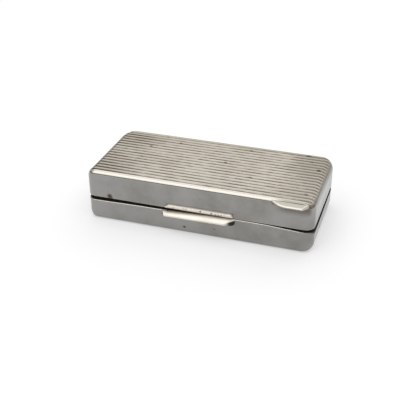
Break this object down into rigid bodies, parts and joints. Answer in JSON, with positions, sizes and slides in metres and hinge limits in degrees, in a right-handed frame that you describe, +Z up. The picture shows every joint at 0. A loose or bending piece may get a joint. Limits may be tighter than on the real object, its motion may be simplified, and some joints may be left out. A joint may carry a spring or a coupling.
{
  "type": "hinged silver box",
  "caption": "Small oblong pocket box of sheet silver with rounded corners, a reeded hinged lid, a two-lip thumbpiece at the front and a flat tab at the lid's corner.",
  "frame": {"origin": "centre of the base's flat underside", "axes": "+X to the right end, along the length; +Y to the hinge at the back; +Z up, out of the lid"},
  "size_m": [0.062, 0.0301, 0.014],
  "materials": {
    "polished_silver": "polished sterling silver, softly worn",
    "reeded_silver": "worn silver with tarnish in the reeds",
    "inner_silver": "dull silver, unpolished",
    "hinge_silver": "worn drawn silver"
  },
  "bodies": {
    "base": {"base_shell": "polished_silver", "inner_bezel": "inner_silver", "lower_thumb_lip": "polished_silver", "hinge_bearer_base": "inner_silver", "hinge_knuckle_base_1": "hinge_silver", "hinge_knuckle_base_2": "hinge_silver", "hinge_knuckle_base_3": "hinge_silver", "hinge_knuckle_base_4": "hinge_silver", "hinge_pin": "hinge_silver"},
    "lid": {"lid_shell": "reeded_silver", "upper_thumb_lip": "polished_silver", "lid_tab": "polished_silver", "hinge_bearer_lid": "inner_silver", "hinge_knuckle_lid_1": "hinge_silver", "hinge_knuckle_lid_2": "hinge_silver", "hinge_knuckle_lid_3": "hinge_silver"}
  },
  "joints": [
    {"name": "lid_hinge", "type": "hinge", "parent": "base", "child": "lid", "pos_m": [0, 0.01305, 0.0062], "axis": [-1, 0, 0], "range_deg": [0, 100]}
  ]
}
